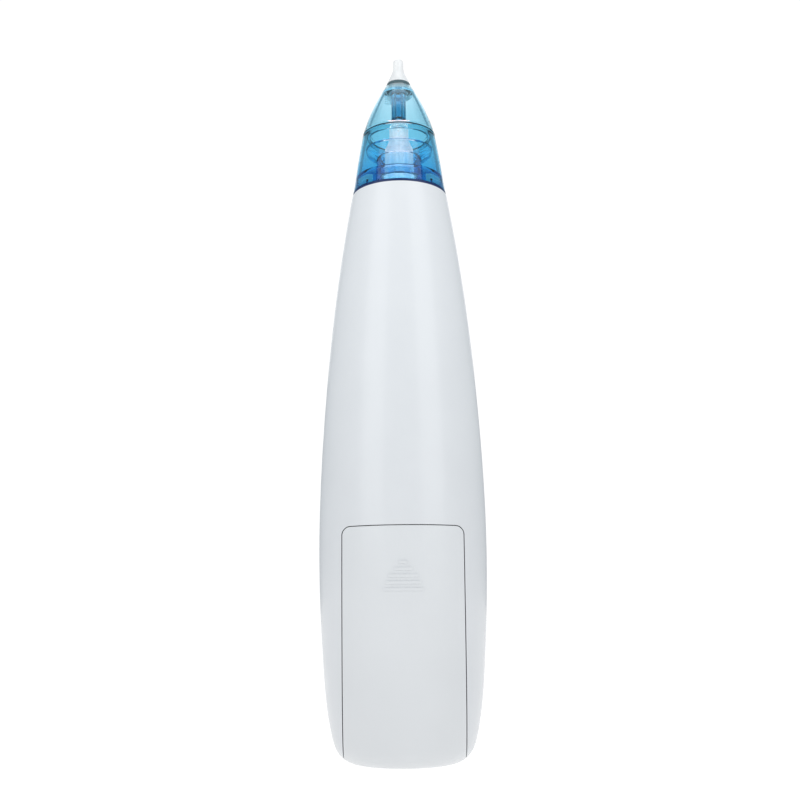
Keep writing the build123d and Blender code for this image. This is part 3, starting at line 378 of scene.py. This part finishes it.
# maker and look of each material slot of the record
MATERIALS = {
    "white_plastic": (moulded, dict(low=(0.82, 0.85, 0.875), high=(0.84, 0.87, 0.895), gloss=(0.30, 0.36), coat=0.25,
                                    stops=BODY_PAINTED_SHADE)),
    "door_plastic": (moulded, dict(low=(0.82, 0.85, 0.87), high=(0.84, 0.87, 0.89), gloss=(0.32, 0.38), coat=0.25,
                                   stops=BODY_PAINTED_SHADE)),
    "inner_plastic": (moulded, dict(low=(0.62, 0.64, 0.65), high=(0.66, 0.68, 0.69), gloss=(0.5, 0.6))),
    "button_plastic": (moulded, dict(low=(0.012, 0.22, 0.52), high=(0.018, 0.26, 0.58), gloss=(0.25, 0.33),
                                     coat=0.4)),
    "blue_clear_cup": (clear_plastic, dict(colour_and_painted_light=CUP_BLUE_AND_SHADE, absorb=(0.10, 0.66, 0.90), density=150.0, ior=1.44)),
    "blue_clear_cap": (cap_plastic, dict(colour_and_painted_light=CAP_BLUE_AND_HIGHLIGHT, absorb=(0.12, 0.70, 0.90), density=160.0, ior=1.44)),
    "blue_clear_insert": (clear_plastic, dict(colour_and_painted_light=INSERT_TINT, absorb=(0.0, 0.70, 0.94), density=420.0, ior=1.36)),
    "clear_plastic": (spigot_plastic, dict(colour_and_painted_light=SPIGOT_TINT, absorb=(0.85, 0.95, 1.0), density=20.0,
                                           gloss=(0.15, 0.25), milk=0.4, painted_light_strength=1.7)),
    # painted shade: the navy seal ring below the cup is drawn dark in place of the shade in that gap
    "navy_rubber": (moulded, dict(low=(0.002, 0.02, 0.11), high=(0.004, 0.03, 0.14), gloss=(0.35, 0.45))),
    "black_rubber": (moulded, dict(low=(0.012, 0.03, 0.05), high=(0.02, 0.04, 0.06), gloss=(0.4, 0.5))),
    "ring_rubber": (moulded, dict(low=(0.07, 0.12, 0.14), high=(0.09, 0.15, 0.17), gloss=(0.3, 0.4))),
    "clear_silicone": (clear_plastic, dict(colour_and_painted_light=TIP_TINT, absorb=(0.9, 0.93, 0.95), density=30.0,
                                           gloss=(0.15, 0.25), ior=1.41, milk=0.8, painted_light_strength=0.05)),
    "white_silicone": (moulded, dict(low=(0.66, 0.70, 0.70), high=(0.72, 0.75, 0.75), gloss=(0.4, 0.5))),
    "cell_wrap": (moulded, dict(low=(0.02, 0.03, 0.04), high=(0.04, 0.05, 0.06), gloss=(0.25, 0.3), coat=0.5,
                                stops=CELL_BANDS)),
    "nickel": (moulded, dict(low=(0.62, 0.60, 0.56), high=(0.70, 0.68, 0.63), gloss=(0.15, 0.25), metallic=1.0)),
    "motor_steel": (moulded, dict(low=(0.45, 0.46, 0.47), high=(0.55, 0.56, 0.57), gloss=(0.3, 0.4), metallic=1.0)),
    "magnet": (moulded, dict(low=(0.05, 0.05, 0.055), high=(0.07, 0.07, 0.075), gloss=(0.6, 0.7))),
    "winding": (moulded, dict(low=(0.42, 0.17, 0.07), high=(0.55, 0.24, 0.10), gloss=(0.3, 0.4), metallic=1.0)),
    "shaft_steel": (moulded, dict(low=(0.55, 0.56, 0.57), high=(0.65, 0.66, 0.67), gloss=(0.12, 0.2), metallic=1.0)),
    "pump_plastic": (moulded, dict(low=(0.52, 0.53, 0.50), high=(0.58, 0.59, 0.56), gloss=(0.45, 0.55))),
    "pump_dark": (moulded, dict(low=(0.03, 0.03, 0.033), high=(0.045, 0.045, 0.05), gloss=(0.45, 0.55))),
    "board_green": (moulded, dict(low=(0.01, 0.12, 0.05), high=(0.015, 0.16, 0.07), gloss=(0.3, 0.4), coat=0.3)),
    "part_black": (moulded, dict(low=(0.015, 0.015, 0.015), high=(0.03, 0.03, 0.03), gloss=(0.4, 0.5))),
    "screw_steel": (moulded, dict(low=(0.48, 0.48, 0.46), high=(0.56, 0.56, 0.54), gloss=(0.25, 0.35), metallic=1.0)),
    "speaker_metal": (moulded, dict(low=(0.4, 0.4, 0.38), high=(0.48, 0.48, 0.46), gloss=(0.35, 0.45), metallic=1.0)),
}


def make_material(slot):
    maker, look = MATERIALS[slot]
    return maker(slot, **look)


def collar_with_painted_light():
    """The white collar inside the clear cup, with painted light: it glows in place of the light that comes through
    the cup.
    """
    material = make_material("white_plastic")
    material.name = "collar_with_painted_light"
    shader = parts_of(material)[1]
    shader.inputs["Emission Color"].default_value = (*COLLAR_PAINTED_LIGHT, 1)
    shader.inputs["Emission Strength"].default_value = COLLAR_PAINTED_LIGHT_STRENGTH
    return material


def paint_nodes():
    """Give every CAD node the material of its record slot, and the neck collar its own with painted light."""
    made = {}
    for part in frame["record"]["subparts"]:
        slot = part["material_slot"]
        if slot not in made:
            made[slot] = make_material(slot)
        node = NODES[part["node"]]
        if not node.data.materials:
            node.data.materials.append(made[slot])
        for entry in node.material_slots:
            entry.material = made[slot]
    collar = collar_with_painted_light()
    for entry in NODES["neck_collar"].material_slots:
        entry.material = collar


add_camera()
add_world()
for softbox in SOFTBOXES:
    add_softbox(*softbox)
add_floor()
bpy.context.scene.view_settings.view_transform = "Standard"
paint_nodes()
